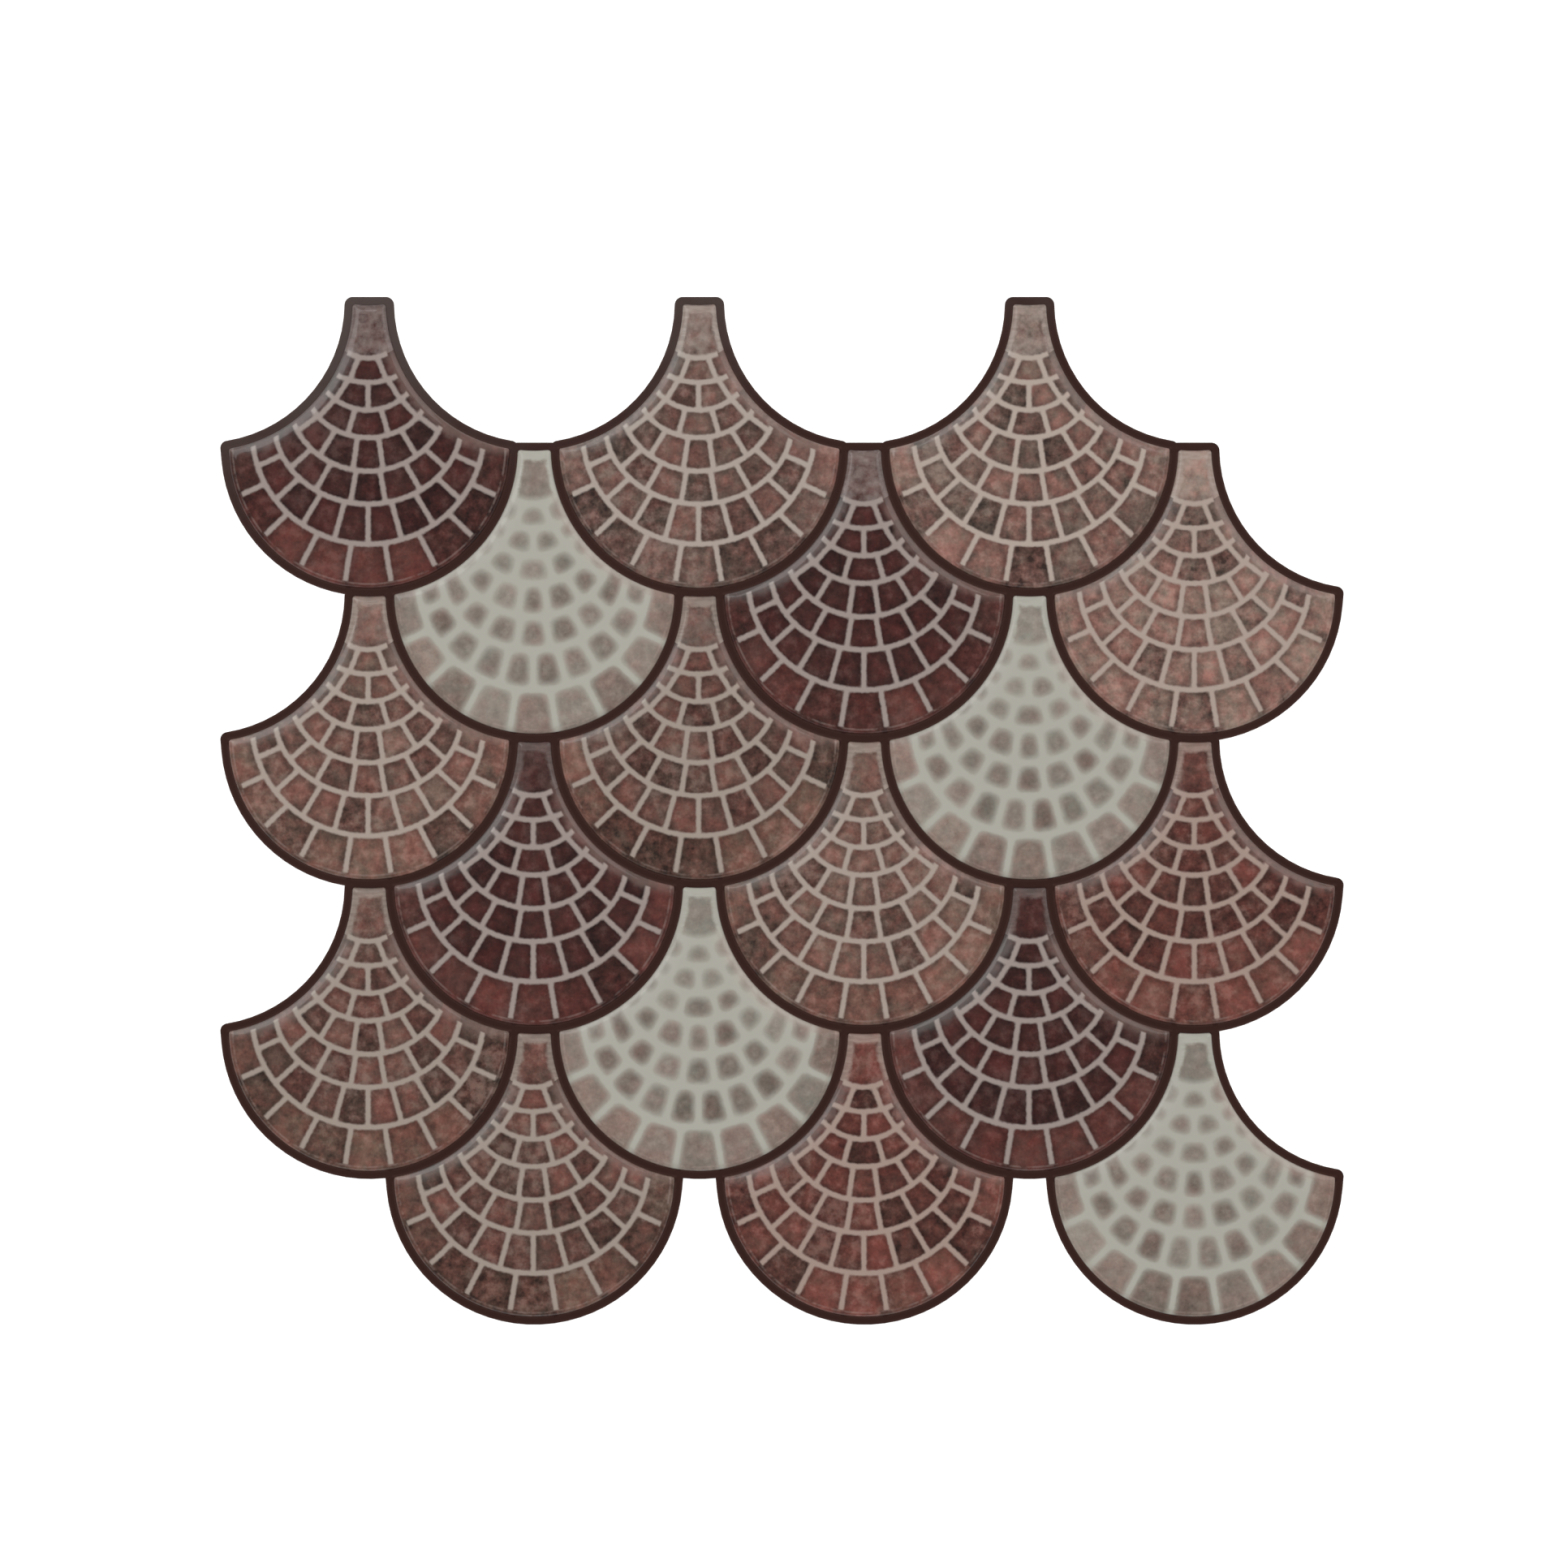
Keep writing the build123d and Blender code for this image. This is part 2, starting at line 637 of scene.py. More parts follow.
@dataclass(frozen=True)
class MosaicGel:
    """Clear gel over the printed mosaic, read from the scale's own print map."""

    pattern: ScalePattern
    colours: Colourway
    name: str
    mottle: Mottle = Mottle()
    blot: Blot = Blot()
    neck: NeckStone = NeckStone()
    # Painted highlights: pale bands by the hollow sides and a light line near the rim, painted into the
    # print's colour for the lamps' reflection in the gel.
    left_sheen: PaintedSheen = PaintedSheen((186, 184, 178), 4.4, 0.17)
    right_sheen: PaintedSheen = PaintedSheen((196, 166, 155), 4.0, 0.2)
    rim_sheen: PaintedSheen = PaintedSheen((200, 180, 172), 1.1, 0.16)
    axis_shift_mm: float = 0.22
    grout_width_mm: float = 1.36
    grout_blur_mm: float = 0.36
    grout_ragged_mm: float = 0.5
    stone_corner_mm: float = 1.0
    edge_shade: float = 0.35
    coat_roughness: float = 0.07
    coat_ior: float = 1.49

    def material(self) -> bpy.types.Material:
        """Builds the finish.

        Returns:
            The material.
        """
        material, bench = new_material("gel_" + self.name)
        place = self._place(bench)
        gap, course, number = self._lines(bench, place)
        side = (place.x > -self.axis_shift_mm) * (number > 0.5)
        stone_odds = self._odds(bench, place, course * 20.0 + number * 2.0 + side)
        scale_odds = self._odds(bench, place, 0.0)

        edge = bench.least(place.from_left, place.from_right, place.from_top, place.from_rim)
        colour = self._stones(bench, place, gap, course, edge, stone_odds)
        colour = self._frame_neck(bench, place, course < 0.5, colour, scale_odds)
        colour = bench.blend(self._grout(bench, place, gap), colour, linear(self.colours.grout))
        # Painted highlights along the hollow sides and the rim, standing for the gel's reflection of the
        # lamps.
        colour = self._shine(bench, place, colour)
        # Painted shade: the gel's colour darkens towards the joint's within the last fraction of a millimetre
        # of its edge.
        colour = bench.blend(bench.ramp(edge, 0.35, -0.1) * self.edge_shade, colour, linear(JOINT_COLOUR))

        waves = bench.noise(place.spot, 160.0, 1.0)
        normal = bench.node("Bump", Strength=0.04, Distance=0.4 * MM, Height=waves)
        shader = bench.node(
            "BsdfPrincipled",
            Base_Color=colour,
            Roughness=0.45,
            Normal=bench.out(normal),
            Specular_IOR_Level=0.2,
            Coat_Weight=1.0,
            Coat_Roughness=self.coat_roughness,
            Coat_IOR=self.coat_ior,
        )
        bench.node("OutputMaterial", Surface=bench.out(shader))
        return material

    def _place(self, bench: Bench) -> Place:
        """Reads the print map.

        Args:
            bench: where the nodes go.

        Returns:
            The point's place in the print and its distance inside each edge of the gel.
        """
        chart = bench.node("UVMap", {"uv_map": PRINT_MAP})
        split = bench.node("SeparateXYZ", Vector=bench.out(chart, "UV"))
        x = (bench.out(split, "X") - 0.5) * PRINT_MAP_SIDE_MM
        y = (bench.out(split, "Y") - 0.5) * PRINT_MAP_SIDE_MM
        here = bench.vector(x, y, 0.0)
        side_x, side_y = self.pattern.side_centre
        hollow = self.pattern.hollow_radius
        above_rim = bench.ramp(y, 0.0, 8.0) * FAR_MM
        return Place(
            spot=bench.out(bench.node("TexCoord"), "Object"),
            x=x,
            y=y,
            from_left=bench.distance(here, (-side_x, side_y, 0)) - hollow,
            from_right=bench.distance(here, (side_x, side_y, 0)) - hollow,
            from_top=bench.distance(here, (0, self.pattern.neck_centre[1], 0)) - hollow,
            from_rim=self.pattern.own_radius - bench.distance(here, (0, 0, 0)) + above_rim,
        )

    def _odds(self, bench: Bench, place: Place, key: Wire | float) -> bpy.types.Node:
        """Draws lots.

        Args:
            bench: where the nodes go.
            place: the point.
            key: a number, such as a stone's.

        Returns:
            A node with three chance numbers, which differ for each key in each scale.
        """
        split = bench.node("SeparateXYZ", Vector=place.spot)
        home_x = bench.math("ROUND", bench.out(split, "X") / MM - place.x)
        home_y = bench.math("ROUND", bench.out(split, "Y") / MM - place.y)
        lot = bench.vector(home_x * 0.37 + key * 1.31, home_y * 0.53 + key * 0.77, key)
        chance = bench.node("TexWhiteNoise", {"noise_dimensions": "3D"}, Vector=lot)
        return bench.node("SeparateXYZ", Vector=bench.out(chance, "Color"))

    def _lines(self, bench: Bench, place: Place) -> tuple[Wire, Wire, Wire]:
        """Finds the nearest grout line and the stone.

        Args:
            bench: where the nodes go.
            place: the point.

        Returns:
            The distance to the middle of the nearest line, the course and the stone's number in it.
        """
        aside = abs(place.x + self.axis_shift_mm)
        below: list[Wire] = []
        ring_gaps: list[Wire] = []
        for course in COURSES:
            beyond = self._beyond(bench, aside, place.y, course)
            below.append(beyond > 0.0)
            ring_gaps.append(abs(beyond))

        folded = bench.vector(aside, place.y, 1.0)
        joint_gaps: list[Wire] = []
        numbers: list[Wire] = []
        bands = [(course.joints, course.joint_on_axis) for course in COURSES[1:]] + [(RIM_JOINTS, False)]
        for index, (joints, on_axis) in enumerate(bands):
            band = below[index] * (1.0 - below[index + 1]) if index + 1 < len(below) else below[index]
            besides = [self._beside(bench, folded, joint) for joint in joints]
            gaps = ([aside] if on_axis else []) + [abs(beside) for beside in besides]
            joint_gaps.append(bench.least(*gaps) + (1.0 - band) * FAR_MM)
            passed = bench.total(*(beside > 0.0 for beside in besides))
            numbers.append((passed + float(on_axis)) * band)
        corner = self.blot.corner_mm if self.colours.ground else self.stone_corner_mm
        gap = bench.math("SMOOTH_MIN", bench.least(*ring_gaps), bench.least(*joint_gaps), corner)
        return gap, bench.total(*below), bench.total(*numbers)

    def _beyond(self, bench: Bench, aside: Wire, y: Wire, course: Course) -> Wire:
        """The distance, with its sign, outside the ellipse of a course's grout line."""
        drop = bench.math("MINIMUM", y - course.centre_y, 0.0)
        reach = bench.length(bench.vector(aside, drop, 0.0))
        share = bench.length(bench.vector(aside / course.half_width, drop / course.drop, 0.0))
        return reach - reach / bench.math("MAXIMUM", share, 0.001)

    def _beside(self, bench: Bench, folded: Wire, joint: tuple[Point, Point]) -> Wire:
        """The distance, with its sign, to the right of a joint's line.

        Args:
            bench: where the nodes go.
            folded: the point's distance from the axis, its height and 1.
            joint: the joint's lower and upper end.

        Returns:
            The distance.
        """
        low, high = joint
        run_x, run_y = high[0] - low[0], high[1] - low[1]
        run = math.hypot(run_x, run_y)
        across = (run_y / run, -run_x / run)
        return bench.dot(folded, (*across, -(low[0] * across[0] + low[1] * across[1])))

    def _grout(self, bench: Bench, place: Place, gap: Wire) -> Wire:
        """Lays the grout, whose lines end short of the gel's edges.

        Args:
            bench: where the nodes go.
            place: the point.
            gap: the distance to the middle of the nearest line.

        Returns:
            How much of the grout's colour there is.
        """
        ragged = (bench.noise(place.spot, 900.0, 2.0) - 0.5) * self.grout_ragged_mm
        half = self.grout_width_mm / 2
        line = bench.ramp(gap + ragged, half + self.grout_blur_mm, half - self.grout_blur_mm)
        ends = bench.least(
            place.from_left - 0.9, place.from_right - 1.8, place.from_rim - 1.25, place.from_top - 2.0
        )
        return line * bench.ramp(ends, -0.1, 0.4)

    def _stones(
        self, bench: Bench, place: Place, gap: Wire, course: Wire, edge: Wire, odds: bpy.types.Node
    ) -> Wire:
        """Colours the stones.

        Args:
            bench: where the nodes go.
            place: the point.
            gap: the distance to the nearest grout line.
            course: the course's number.
            edge: the distance to the gel's edge.
            odds: three chance numbers for each stone.

        Returns:
            The colour of the stones.
        """
        mottle, blot = self.mottle, self.blot
        rim = course > len(COURSES) - 0.5
        inside = bench.least(gap, edge + 0.3 + rim * 3.0)
        cloud = bench.noise(place.spot, mottle.cloud_scale, 3.0, 0.6) - 0.5
        grain = bench.noise(place.spot, mottle.grain_scale, 1.0) - 0.5
        patch = bench.noise(place.spot, mottle.patch_scale, 1.0) - 0.5
        flush = bench.noise(place.spot, mottle.flush_scale, 3.0, 0.6) - 0.5
        light = 1.0 + (bench.out(odds, "X") - 0.5) * (self.colours.spread + rim * mottle.rim_spread)
        light = light + cloud * mottle.cloud + grain * mottle.grain + patch * mottle.patch
        redness = (bench.out(odds, "Y") - 0.5) * mottle.stone_flush + flush * mottle.flush
        colour = bench.blend(rim, linear(self.colours.stone), linear(self.colours.rim_stone))
        if self.colours.ground:
            depth = inside + rim * blot.rim_growth_mm + cloud * blot.ragged_mm
            cover = bench.ramp(depth, *blot.edge_mm) * (blot.strength + blot.spread * bench.out(odds, "Z"))
            cover = cover * (1.0 - blot.fade * bench.ramp(place.y, *blot.fade_y_mm))
            colour = bench.blend(cover, linear(self.colours.ground), colour)
            light = 1.0 + (light - 1.0) * (blot.ground_mottle + blot.mottle * cover)
            redness = redness * cover * blot.flush
        else:
            light = light * (mottle.edge_light + mottle.middle_gain * bench.ramp(inside, *mottle.edge_mm))
        light = bench.math("MAXIMUM", light, mottle.darkest)
        tint = bench.blend(0.5 + redness, mottle.cool, mottle.warm)
        colour = bench.blend(1.0, colour, tint, "MULTIPLY")
        colour = bench.blend(1.0, colour, bench.vector(light, light, light), "MULTIPLY")
        worn = bench.ramp(cloud + patch * mottle.patch, *mottle.worn) * self.colours.wear
        return bench.blend(worn, colour, linear(self.colours.grout))

    def _frame_neck(self, bench: Bench, place: Place, neck: Wire, colour: Wire, odds: bpy.types.Node) -> Wire:
        """Frames the neck's single stone in pale grout, and makes it paler high up on the sheet.

        Args:
            bench: where the nodes go.
            place: the point.
            neck: 1 in the neck.
            colour: the colour so far.
            odds: three chance numbers for each scale.

        Returns:
            The colour with the frame.
        """
        paint = self.neck
        split = bench.node("SeparateXYZ", Vector=place.spot)
        torn = bench.noise(place.spot, paint.torn_scale, 3.0, 0.6) - 0.5
        inner = bench.least(place.from_left, place.from_right + paint.right_mm, place.from_top - paint.top_mm)
        ragged = inner + torn * paint.torn_mm
        frame_share = bench.ramp(ragged, *paint.width_mm) * bench.ramp(inner, *paint.foot_mm)
        chance = bench.out(odds, "X")
        along = bench.vector(place.x * paint.streak_scale[0], place.y * paint.streak_scale[1], chance * 9.0)
        streaks = bench.ramp(bench.noise(along, 1.0, 2.0), *paint.streak_edges)
        frame_share = frame_share * (self.colours.neck_frame + paint.spread * chance)
        frame_share = frame_share * (paint.streak_base + paint.streak_gain * streaks)
        high = bench.ramp(bench.out(split, "Y"), *paint.high_y)
        pale = high * (paint.high_pale + torn * paint.high_torn) * (0.0 if self.colours.ground else 1.0)
        return bench.blend(neck * bench.most(pale, frame_share), colour, linear(self.colours.grout))

    def _shine(self, bench: Bench, place: Place, colour: Wire) -> Wire:
        """Paints highlights into the colour: pale bands along the hollow sides and a fine light line along
        the rim, standing for the lamps' reflection in the gel's rolled edges.

        Args:
            bench: where the nodes go.
            place: the point.
            colour: the colour so far.

        Returns:
            The colour with the painted highlights.
        """
        torn = bench.noise(place.spot, 300.0, 3.0, 0.6)
        low = bench.ramp(place.y, -4.0, 1.0) * bench.ramp(place.y, 30.0, 22.0)
        for inside, painted_sheen in ((place.from_left, self.left_sheen), (place.from_right, self.right_sheen)):
            band = bench.ramp(inside + (torn - 0.5) * 4.0, painted_sheen.reach_mm, 1.0) * low * painted_sheen.strength
            colour = bench.blend(band, colour, linear(painted_sheen.colour))
        # The fine light line near the rim is a painted highlight.
        off_line = abs(place.from_rim - self.rim_sheen.reach_mm)
        line = bench.ramp(off_line, 0.4, 0.1) * bench.ramp(torn, 0.35, 0.6)
        return bench.blend(line * self.rim_sheen.strength, colour, linear(self.rim_sheen.colour))


@dataclass(frozen=True)
class JointPrint:
    """The dark printed film that shows in the joints between the scales, with a painted reflection that makes
    it paler towards the upper left.
    """

    pattern: ScalePattern = field(default_factory=ScalePattern)
    side_colour: Rgb = (64, 40, 34)
    side_from_mm: float = 0.35
    # Painted reflection: the film turns paler and greyer towards the upper left, where the key lamp would be
    # mirrored in it.
    milky_colour: Rgb = (82, 72, 68)
    milky_share: float = 0.75
    milky_slant: float = 0.25
    milky_ragged_mm: float = 40.0
    milky_mm: Span = (-25.0, 45.0)

    def material(self) -> bpy.types.Material:
        """Builds the finish.

        Returns:
            The material.
        """
        material, bench = new_material("printed_film")
        spot = bench.out(bench.node("TexCoord"), "Object")
        split = bench.node("SeparateXYZ", Vector=spot)
        first_x, first_y = self.pattern.centre(0, 0)
        x = bench.out(split, "X") / MM - first_x
        y = bench.out(split, "Y") / MM - first_y

        # A joint runs along the circle of each scale, and every second row is half a pitch aside.
        off_middle: list[Wire] = []
        for shift_x, shift_y in ((0.0, 0.0), (self.pattern.pitch / 2, self.pattern.row_pitch)):
            near_x = bench.fold(x - shift_x, self.pattern.pitch)
            near_y = bench.fold(y + shift_y, 2 * self.pattern.row_pitch)
            off_middle.append(abs(bench.length(bench.vector(near_x, near_y, 0.0)) - self.pattern.radius))
        side = bench.ramp(bench.least(*off_middle), self.side_from_mm, self.pattern.joint_width / 2)
        cloud = bench.noise(spot, 90.0, 4.0, 0.6)
        fleck = bench.noise(spot, 1500.0, 2.0, 0.6)
        colour = bench.blend(side * (0.5 + fleck), linear(JOINT_COLOUR), linear(self.side_colour))
        # Painted reflection of the key lamp, stronger towards the upper left of the film.
        height = y - x * self.milky_slant + (cloud - 0.5) * self.milky_ragged_mm
        reflection_wash = bench.ramp(height, *self.milky_mm) * self.milky_share
        colour = bench.blend(reflection_wash, colour, linear(self.milky_colour))
        normal = bench.node("Bump", Strength=0.08, Distance=0.2 * MM, Height=fleck)
        shader = bench.node(
            "BsdfPrincipled",
            Base_Color=colour,
            Roughness=0.4 + 0.15 * cloud,
            Normal=bench.out(normal),
            Specular_IOR_Level=0.3,
        )
        bench.node("OutputMaterial", Surface=bench.out(shader))
        return material


@dataclass(frozen=True)
class ReleasePaper:
    """Smooth siliconed release paper."""

    colour: Rgb = (229, 227, 220)
    fibre_colour: Rgb = (221, 218, 210)

    def material(self) -> bpy.types.Material:
        """Builds the finish.

        Returns:
            The material.
        """
        material, bench = new_material("release_paper")
        spot = bench.out(bench.node("TexCoord"), "Object")
        long_way = bench.node("Mapping", {"vector_type": "POINT"}, Vector=spot, Scale=(1.0, 4.0, 1.0))
        fibre = bench.noise(bench.out(long_way), 700.0, 5.0, 0.65)
        cloud = bench.noise(spot, 45.0, 3.0, 0.5)
        share = bench.ramp(fibre * 0.6 + cloud * 0.4, 0.38, 0.66)
        colour = bench.blend(share, linear(self.colour), linear(self.fibre_colour))
        shader = bench.node("BsdfPrincipled", Base_Color=colour, Roughness=0.5 + 0.2 * fibre)
        bench.node("OutputMaterial", Surface=bench.out(shader))
        return material


# Pieces


@dataclass
class GelScales:
    """The eighteen domes of gel, modelled once and copied to their places."""

    pattern: ScalePattern = field(default_factory=ScalePattern)
    own_steps: int = 58
    side_steps: int = 46
    neck_steps: int = 3
    corner_steps: int = 4
    columns: int = 58
    wall_mm: float = 0.35
    crown_mm: float = 1.12
    roll_mm: float = 4.2
    horn_round_mm: float = 0.6
    neck_round_mm: float = 0.9
    seam_mm: float = 1.2
    edge_bands_mm: tuple[float, ...] = (0.1, 0.16, 0.24)
    neck_from_mm: float = 33.0
    neck_smoothing: int = 120
    crown_smoothing: int = 3
    smooth_under_degrees: float = 55.0
    close_mm: float = 0.01
    top_group: str = "top"

    def build(self) -> list[bpy.types.Object]:
        """Models one scale and places a copy on each CAD scale.

        Returns:
            The placed pieces.
        """
        master = self._master()
        self._print_map(master)
        pieces: list[bpy.types.Object] = []
        finishes = {tone: MosaicGel(self.pattern, tone.value, tone.name.lower()).material() for tone in Tone}
        for row, tones in enumerate(LAYOUT):
            for column, tone in enumerate(tones):
                node = f"gel_scale_row{row + 1}_{column + 1}"
                piece = master.copy()
                piece.data = master.data.copy()
                piece.name = f"gel_row{row + 1}_{column + 1}"
                piece.data.name = piece.name
                bpy.context.scene.collection.objects.link(piece)
                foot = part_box(node)[0].z
                centre = self.pattern.centre(row, column)
                for vertex in piece.data.vertices:
                    vertex.co.x += centre[0] * MM
                    vertex.co.y += centre[1] * MM
                    vertex.co.z += foot
                piece.data.materials.clear()
                piece.data.materials.append(finishes[tone])
                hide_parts(node)
                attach(piece, "root")
                pieces.append(piece)
                log.info("%s: %d faces", piece.name, len(piece.data.polygons))
        bpy.data.objects.remove(master)
        return pieces

    def _arc(self, centre: Point, start: Point, end: Point, steps: int) -> None:
        """Spins the selected point along an arc.

        Args:
            centre: centre of the arc, in millimetres.
            start: where the point is.
            end: where it goes.
            steps: how many edges the arc gets.
        """
        begin = math.atan2(start[1] - centre[1], start[0] - centre[0])
        finish = math.atan2(end[1] - centre[1], end[0] - centre[0])
        turn = (finish - begin + math.pi) % (2 * math.pi) - math.pi
        bpy.ops.mesh.spin(
            steps=steps,
            angle=-turn,
            center=(centre[0] * MM, centre[1] * MM, 0.0),
            axis=(0.0, 0.0, 1.0),
        )

    def _master(self) -> bpy.types.Object:
        """Models the dome of one scale.

        Returns:
            The dome, standing on Z = 0 with its circle round the origin.
        """
        deselect_all()
        bpy.ops.mesh.primitive_plane_add(size=self.seam_mm * MM, location=(0, 0, 0))
        scale = bpy.context.object
        scale.name = "gel_master"
        bpy.ops.object.mode_set(mode="EDIT")
        self._draw_outline(scale)
        self._fill(scale)
        self._raise_sheet()
        bpy.ops.object.mode_set(mode="OBJECT")
        self._crown(scale)
        select_only(scale)
        bpy.ops.object.shade_smooth_by_angle(angle=math.radians(self.smooth_under_degrees))
        return scale

    def _draw_outline(self, scale: bpy.types.Object) -> None:
        """Draws the scale's outline, starting from a plane that is merged to a point.

        Args:
            scale: the mesh in edit mode.
        """
        own, hollow = self.pattern.own_radius, self.pattern.hollow_radius
        seam = self.seam_mm / 2
        bottom = (seam, -math.sqrt(own**2 - seam**2))
        top = (seam, self.pattern.neck_centre[1] - math.sqrt(hollow**2 - seam**2))
        horn, neck = self.pattern.corner(Corner.HORN), self.pattern.corner(Corner.NECK)

        # The right-hand outline runs from the foot of the axis round to its head.
        bpy.ops.mesh.select_all(action="SELECT")
        bpy.ops.mesh.merge(type="CENTER")
        bpy.ops.transform.translate(value=(bottom[0] * MM, bottom[1] * MM, 0.0))
        self._arc((0.0, 0.0), bottom, horn, self.own_steps)
        self._arc(self.pattern.side_centre, horn, neck, self.side_steps)
        self._arc(self.pattern.neck_centre, neck, top, self.neck_steps)
        self._round(scale, horn, self.horn_round_mm)
        self._round(scale, neck, self.neck_round_mm)

        # The left-hand outline is its mirror image, and a short seam joins the two.
        bpy.ops.mesh.select_all(action="SELECT")
        bpy.ops.mesh.duplicate()
        bpy.ops.transform.mirror(
            orient_type="GLOBAL", constraint_axis=(True, False, False), center_override=(0.0, 0.0, 0.0)
        )
        near, wide = self.close_mm, seam + self.close_mm
        for seam_y in (bottom[1], top[1]):
            self._pick(scale, lambda co, y=seam_y: abs(co.y / MM - y) < near and abs(co.x / MM) < wide)
            bpy.ops.mesh.edge_face_add()
        bpy.ops.mesh.select_all(action="SELECT")
        bpy.ops.mesh.remove_doubles(threshold=2 * self.close_mm * MM)

    def _fill(self, scale: bpy.types.Object) -> None:
        """Fills the outline with bands along its edge and rows from side to side.

        Args:
            scale: the mesh in edit mode, all selected.
        """
        bpy.ops.mesh.edge_face_add()
        for band in self.edge_bands_mm:
            bpy.ops.mesh.inset(thickness=band * MM, depth=0.0, use_even_offset=True)
        bpy.ops.mesh.delete(type="ONLY_FACE")
        bpy.ops.mesh.select_mode(type="EDGE")
        self._pick_inner_sides(scale)
        bpy.ops.mesh.bridge_edge_loops(number_cuts=self.columns, interpolation="LINEAR")

        # In the neck the rows bend with its hollow top.
        bpy.ops.mesh.select_mode(type="VERT")
        bpy.ops.mesh.select_all(action="DESELECT")
        bpy.ops.mesh.select_non_manifold()
        for _ in self.edge_bands_mm:
            bpy.ops.mesh.select_more()
        bpy.ops.mesh.select_all(action="INVERT")
        self._pick(scale, lambda co: co.y > self.neck_from_mm * MM, among_selected=True)
        bpy.ops.mesh.vertices_smooth(factor=0.5, repeat=self.neck_smoothing)

    def _raise_sheet(self) -> None:
        """Extrudes the flat sheet to the height of its wall, which leaves a copy of it as the foot."""
        bpy.ops.mesh.select_mode(type="FACE")
        bpy.ops.mesh.select_all(action="SELECT")
        bpy.ops.mesh.normals_make_consistent(inside=False)
        bpy.ops.mesh.extrude_region_move(TRANSFORM_OT_translate={"value": (0.0, 0.0, self.wall_mm * MM)})
        bpy.ops.mesh.select_all(action="SELECT")
        bpy.ops.mesh.normals_make_consistent(inside=False)

    def _pick(
        self, scale: bpy.types.Object, wanted: Callable[[Vector], bool], among_selected: bool = False
    ) -> None:
        """Selects just the points that pass a test.

        Args:
            scale: the mesh in edit mode.
            wanted: takes a point's place and says whether it is selected.
            among_selected: keeps only points that were selected before.
        """
        mesh = bmesh.from_edit_mesh(scale.data)
        for vertex in mesh.verts:
            vertex.select = wanted(vertex.co) and (vertex.select or not among_selected)
        mesh.select_flush_mode()
        bmesh.update_edit_mesh(scale.data)

    def _round(self, scale: bpy.types.Object, corner: Point, radius: float) -> None:
        """Rounds one corner of the outline.

        Args:
            scale: the mesh in edit mode.
            corner: the corner, in millimetres.
            radius: about the corner's radius, in millimetres.
        """
        spot = Vector((corner[0] * MM, corner[1] * MM, 0.0))
        self._pick(scale, lambda co: (co - spot).length < self.close_mm * MM)
        bpy.ops.mesh.bevel(
            offset_type="OFFSET",
            offset=radius * MM,
            segments=self.corner_steps,
            affect="VERTICES",
            clamp_overlap=True,
        )

    def _pick_inner_sides(self, scale: bpy.types.Object) -> None:
        """Selects the inner boundary's two long sides, without the seams that join them.

        Args:
            scale: the mesh in edit mode.
        """
        mesh = bmesh.from_edit_mesh(scale.data)
        loops: list[set[bmesh.types.BMEdge]] = []
        todo = {edge for edge in mesh.edges if edge.is_boundary}
        while todo:
            grown = {todo.pop()}
            loop = set(grown)
            while grown:
                ends = {vertex for edge in grown for vertex in edge.verts}
                grown = {edge for vertex in ends for edge in vertex.link_edges if edge in todo}
                todo -= grown
                loop |= grown
            loops.append(loop)
        inner = min(loops, key=lambda loop: max(vertex.co.length for edge in loop for vertex in edge.verts))
        log.info("inner loop: %d edges", len(inner))
        for edge in mesh.edges:
            sides = [vertex.co.x for vertex in edge.verts]
            edge.select_set(edge in inner and (min(sides) > 0 or max(sides) < 0))
        bmesh.update_edit_mesh(scale.data)

    def _edge_line(self, scale: bpy.types.Object) -> bpy.types.Object:
        """Copies just the line along the top of the wall.

        Args:
            scale: the flat scale with its wall.

        Returns:
            The line, as a mesh of edges.
        """
        line = scale.copy()
        line.data = scale.data.copy()
        line.name = "gel_edge_line"
        bpy.context.scene.collection.objects.link(line)
        mesh = bmesh.new()
        mesh.from_mesh(line.data)
        on_line = {
            vertex
            for vertex in mesh.verts
            if vertex.co.z > self.wall_mm * MM / 2
            and any(abs(edge.other_vert(vertex).co.z) < self.close_mm * MM for edge in vertex.link_edges)
        }
        bmesh.ops.delete(mesh, geom=list(mesh.faces), context="FACES_ONLY")
        strays = [edge for edge in mesh.edges if not on_line.issuperset(edge.verts)]
        bmesh.ops.delete(mesh, geom=strays, context="EDGES")
        loose = [vertex for vertex in mesh.verts if not vertex.link_edges]
        bmesh.ops.delete(mesh, geom=loose, context="VERTS")
        mesh.to_mesh(line.data)
        mesh.free()
        return line

    def _crown(self, scale: bpy.types.Object) -> None:
        """Raises the top into a dome that falls to its wall along the outline.

        Args:
            scale: the flat scale with its wall.
        """
        line = self._edge_line(scale)
        upper = [vertex.index for vertex in scale.data.vertices if vertex.co.z > self.wall_mm * MM / 2]
        scale.vertex_groups.new(name=self.top_group).add(upper, 1.0, "REPLACE")
        select_only(scale)
        apply_modifier(
            scale,
            "VERTEX_WEIGHT_PROXIMITY",
            vertex_group=self.top_group,
            target=line,
            proximity_mode="GEOMETRY",
            proximity_geometry={"EDGE"},
            min_dist=0.0,
            max_dist=self.roll_mm * MM,
            falloff_type="ICON_SPHERECURVE",
        )
        apply_modifier(
            scale,
            "DISPLACE",
            direction="Z",
            mid_level=0.0,
            strength=self.crown_mm * MM,
            vertex_group=self.top_group,
        )
        apply_modifier(
            scale,
            "SMOOTH",
            factor=0.5,
            iterations=self.crown_smoothing,
            use_x=False,
            use_y=False,
            vertex_group=self.top_group,
        )
        bpy.data.objects.remove(line)
        scale.vertex_groups.clear()

